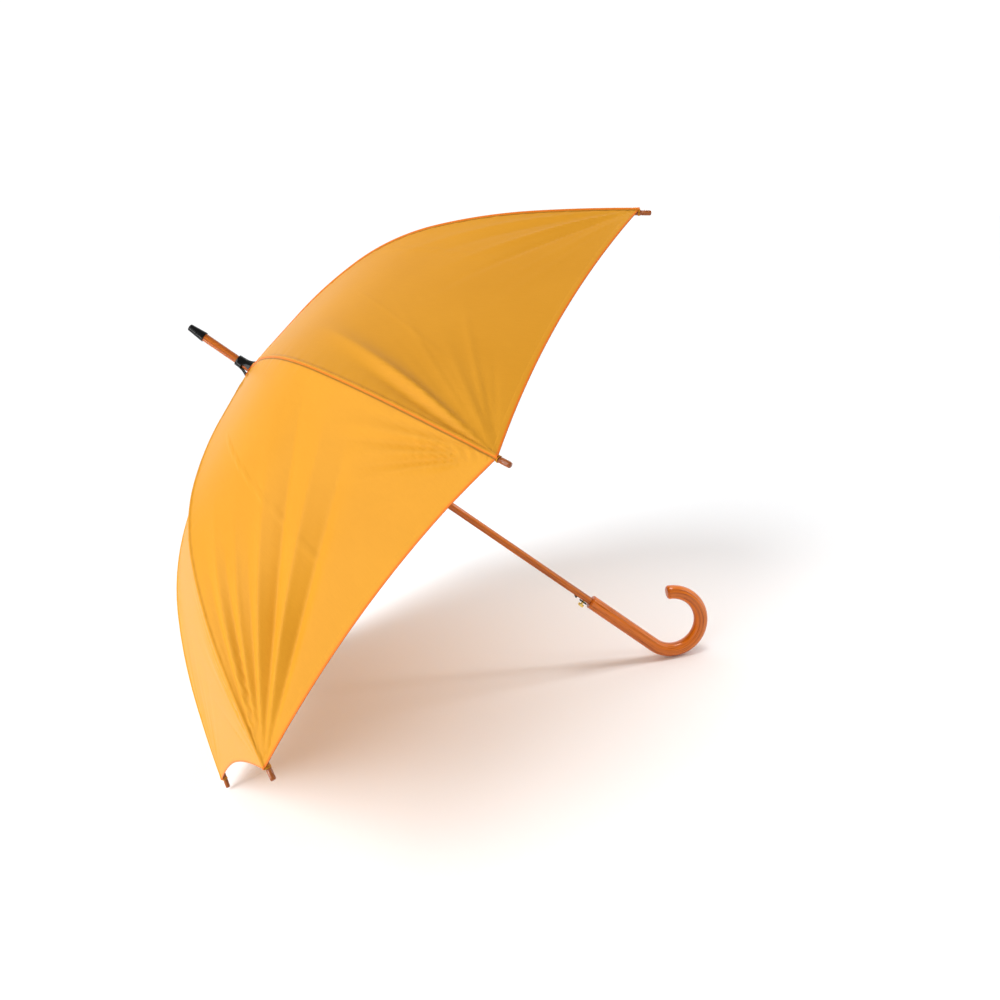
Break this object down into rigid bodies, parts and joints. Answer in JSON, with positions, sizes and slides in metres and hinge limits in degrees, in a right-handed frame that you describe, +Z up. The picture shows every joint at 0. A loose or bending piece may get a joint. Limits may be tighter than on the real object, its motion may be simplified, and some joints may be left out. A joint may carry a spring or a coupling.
{
  "type": "automatic stick umbrella",
  "caption": "Open automatic stick umbrella with a ribbed fabric canopy, wooden shaft, hooked handle and a push button that releases the sprung runner.",
  "frame": {"origin": "middle of the bounding box, on the ground that the open umbrella stands on", "axes": "+Z up from the ground; +X along the ground from the canopy towards the crook handle, so that the shaft lies in the XZ plane and climbs towards -X; +Y to the left of someone looking along +X"},
  "size_m": [0.7846, 0.9634, 0.7136],
  "materials": {
    "orange_fabric": "satin woven polyester",
    "shaft_wood": "varnished",
    "handle_wood": "high-gloss varnish over a dark grain",
    "tip_wood": "varnished",
    "black_plastic": "satin",
    "black_steel": "black enamel",
    "bright_steel": "plated",
    "gold_metal": "polished"
  },
  "bodies": {
    "shaft": {"shaft": "shaft_wood", "handle": "handle_wood", "ferrule_cap": "black_plastic", "ferrule_collar": "black_plastic", "rosette": "orange_fabric", "crown": "black_plastic", "crown_wire": "bright_steel", "opening_spring": "bright_steel", "button_housing": "black_plastic"},
    "runner": {"runner": "black_plastic"},
    "push_button": {"push_button": "gold_metal"},
    "runner_catch": {"runner_catch": "black_steel"},
    "rib_1": {"rib_1": "black_steel", "rib_tip_1": "tip_wood", "stretcher_clip_1": "bright_steel", "canopy_gore_1": "orange_fabric"},
    "stretcher_1": {"stretcher_1": "black_steel"},
    "rib_2": {"rib_2": "black_steel", "rib_tip_2": "tip_wood", "stretcher_clip_2": "bright_steel", "canopy_gore_2": "orange_fabric"},
    "stretcher_2": {"stretcher_2": "black_steel"},
    "rib_3": {"rib_3": "black_steel", "rib_tip_3": "tip_wood", "stretcher_clip_3": "bright_steel", "canopy_gore_3": "orange_fabric"},
    "stretcher_3": {"stretcher_3": "black_steel"},
    "rib_4": {"rib_4": "black_steel", "rib_tip_4": "tip_wood", "stretcher_clip_4": "bright_steel", "canopy_gore_4": "orange_fabric"},
    "stretcher_4": {"stretcher_4": "black_steel"},
    "rib_5": {"rib_5": "black_steel", "rib_tip_5": "tip_wood", "stretcher_clip_5": "bright_steel", "canopy_gore_5": "orange_fabric"},
    "stretcher_5": {"stretcher_5": "black_steel"},
    "rib_6": {"rib_6": "black_steel", "rib_tip_6": "tip_wood", "stretcher_clip_6": "bright_steel", "canopy_gore_6": "orange_fabric"},
    "stretcher_6": {"stretcher_6": "black_steel"},
    "rib_7": {"rib_7": "black_steel", "rib_tip_7": "tip_wood", "stretcher_clip_7": "bright_steel", "canopy_gore_7": "orange_fabric"},
    "stretcher_7": {"stretcher_7": "black_steel"},
    "rib_8": {"rib_8": "black_steel", "rib_tip_8": "tip_wood", "stretcher_clip_8": "bright_steel", "canopy_gore_8": "orange_fabric"},
    "stretcher_8": {"stretcher_8": "black_steel"}
  },
  "joints": [
    {"name": "runner_slide", "type": "slide", "parent": "shaft", "child": "runner", "axis": [0.7106, 0, -0.7036], "range_m": [0, 0.372], "stiffness_N_per_m": 50, "springref_m": -0.2, "deforming": ["opening_spring"]},
    {"name": "push_button_press", "type": "slide", "parent": "shaft", "child": "push_button", "axis": [0.695, 0.1564, 0.7018], "range_m": [0, 0.0024], "stiffness_N_per_m": 600, "springref_m": -0.002},
    {"name": "runner_catch_press", "type": "slide", "parent": "shaft", "child": "runner_catch", "axis": [0.695, 0.1564, 0.7018], "range_m": [0, 0.0024]},
    {"name": "rib_1_hinge", "type": "hinge", "parent": "shaft", "child": "rib_1", "pos_m": [-0.23897, -0.00367, 0.56946], "axis": [0.2693, 0.9239, 0.2719], "range_deg": [0, 57.6], "deforming": ["canopy_gore_1"]},
    {"name": "stretcher_1_hinge", "type": "hinge", "parent": "rib_1", "child": "stretcher_1", "pos_m": [-0.01408, -0.1045, 0.68934], "axis": [-0.2693, -0.9239, -0.2719], "range_deg": [0, 115.2]},
    {"name": "rib_2_hinge", "type": "hinge", "parent": "shaft", "child": "rib_2", "pos_m": [-0.24262, -0.00887, 0.56577], "axis": [0.6501, 0.3827, 0.6565], "range_deg": [0, 57.6], "deforming": ["canopy_gore_2"]},
    {"name": "stretcher_2_hinge", "type": "hinge", "parent": "rib_2", "child": "stretcher_2", "pos_m": [-0.11807, -0.25229, 0.58433], "axis": [-0.6501, -0.3827, -0.6565], "range_deg": [0, 115.2]},
    {"name": "rib_3_hinge", "type": "hinge", "parent": "shaft", "child": "rib_3", "pos_m": [-0.24779, -0.00887, 0.56055], "axis": [0.6501, -0.3827, 0.6565], "range_deg": [0, 57.6], "deforming": ["canopy_gore_3"]},
    {"name": "stretcher_3_hinge", "type": "hinge", "parent": "rib_3", "child": "stretcher_3", "pos_m": [-0.26513, -0.25229, 0.43582], "axis": [-0.6501, 0.3827, -0.6565], "range_deg": [0, 115.2]},
    {"name": "rib_4_hinge", "type": "hinge", "parent": "shaft", "child": "rib_4", "pos_m": [-0.25145, -0.00367, 0.55686], "axis": [0.2693, -0.9239, 0.2719], "range_deg": [0, 57.6], "deforming": ["canopy_gore_4"]},
    {"name": "stretcher_4_hinge", "type": "hinge", "parent": "rib_4", "child": "stretcher_4", "pos_m": [-0.36912, -0.1045, 0.33081], "axis": [-0.2693, 0.9239, -0.2719], "range_deg": [0, 115.2]},
    {"name": "rib_5_hinge", "type": "hinge", "parent": "shaft", "child": "rib_5", "pos_m": [-0.25145, 0.00367, 0.55686], "axis": [-0.2693, -0.9239, -0.2719], "range_deg": [0, 57.6], "deforming": ["canopy_gore_5"]},
    {"name": "stretcher_5_hinge", "type": "hinge", "parent": "rib_5", "child": "stretcher_5", "pos_m": [-0.36912, 0.1045, 0.33081], "axis": [0.2693, 0.9239, 0.2719], "range_deg": [0, 115.2]},
    {"name": "rib_6_hinge", "type": "hinge", "parent": "shaft", "child": "rib_6", "pos_m": [-0.24779, 0.00887, 0.56055], "axis": [-0.6501, -0.3827, -0.6565], "range_deg": [0, 57.6], "deforming": ["canopy_gore_6"]},
    {"name": "stretcher_6_hinge", "type": "hinge", "parent": "rib_6", "child": "stretcher_6", "pos_m": [-0.26513, 0.25229, 0.43582], "axis": [0.6501, 0.3827, 0.6565], "range_deg": [0, 115.2]},
    {"name": "rib_7_hinge", "type": "hinge", "parent": "shaft", "child": "rib_7", "pos_m": [-0.24262, 0.00887, 0.56577], "axis": [-0.6501, 0.3827, -0.6565], "range_deg": [0, 57.6], "deforming": ["canopy_gore_7"]},
    {"name": "stretcher_7_hinge", "type": "hinge", "parent": "rib_7", "child": "stretcher_7", "pos_m": [-0.11807, 0.25229, 0.58433], "axis": [0.6501, -0.3827, 0.6565], "range_deg": [0, 115.2]},
    {"name": "rib_8_hinge", "type": "hinge", "parent": "shaft", "child": "rib_8", "pos_m": [-0.23897, 0.00367, 0.56946], "axis": [-0.2693, 0.9239, -0.2719], "range_deg": [0, 57.6], "deforming": ["canopy_gore_8"]},
    {"name": "stretcher_8_hinge", "type": "hinge", "parent": "rib_8", "child": "stretcher_8", "pos_m": [-0.01408, 0.1045, 0.68934], "axis": [0.2693, -0.9239, 0.2719], "range_deg": [0, 115.2]}
  ],
  "couplings": [
    {"joint": "runner_catch_press", "follows": "push_button_press", "ratio": 1},
    {"joint": "rib_1_hinge", "follows": "runner_slide", "rad_per_m": 2.6979},
    {"joint": "stretcher_1_hinge", "follows": "runner_slide", "rad_per_m": 5.3986},
    {"joint": "rib_2_hinge", "follows": "runner_slide", "rad_per_m": 2.6979},
    {"joint": "stretcher_2_hinge", "follows": "runner_slide", "rad_per_m": 5.3986},
    {"joint": "rib_3_hinge", "follows": "runner_slide", "rad_per_m": 2.6979},
    {"joint": "stretcher_3_hinge", "follows": "runner_slide", "rad_per_m": 5.3986},
    {"joint": "rib_4_hinge", "follows": "runner_slide", "rad_per_m": 2.6979},
    {"joint": "stretcher_4_hinge", "follows": "runner_slide", "rad_per_m": 5.3986},
    {"joint": "rib_5_hinge", "follows": "runner_slide", "rad_per_m": 2.6979},
    {"joint": "stretcher_5_hinge", "follows": "runner_slide", "rad_per_m": 5.3986},
    {"joint": "rib_6_hinge", "follows": "runner_slide", "rad_per_m": 2.6979},
    {"joint": "stretcher_6_hinge", "follows": "runner_slide", "rad_per_m": 5.3986},
    {"joint": "rib_7_hinge", "follows": "runner_slide", "rad_per_m": 2.6979},
    {"joint": "stretcher_7_hinge", "follows": "runner_slide", "rad_per_m": 5.3986},
    {"joint": "rib_8_hinge", "follows": "runner_slide", "rad_per_m": 2.6979},
    {"joint": "stretcher_8_hinge", "follows": "runner_slide", "rad_per_m": 5.3986}
  ]
}
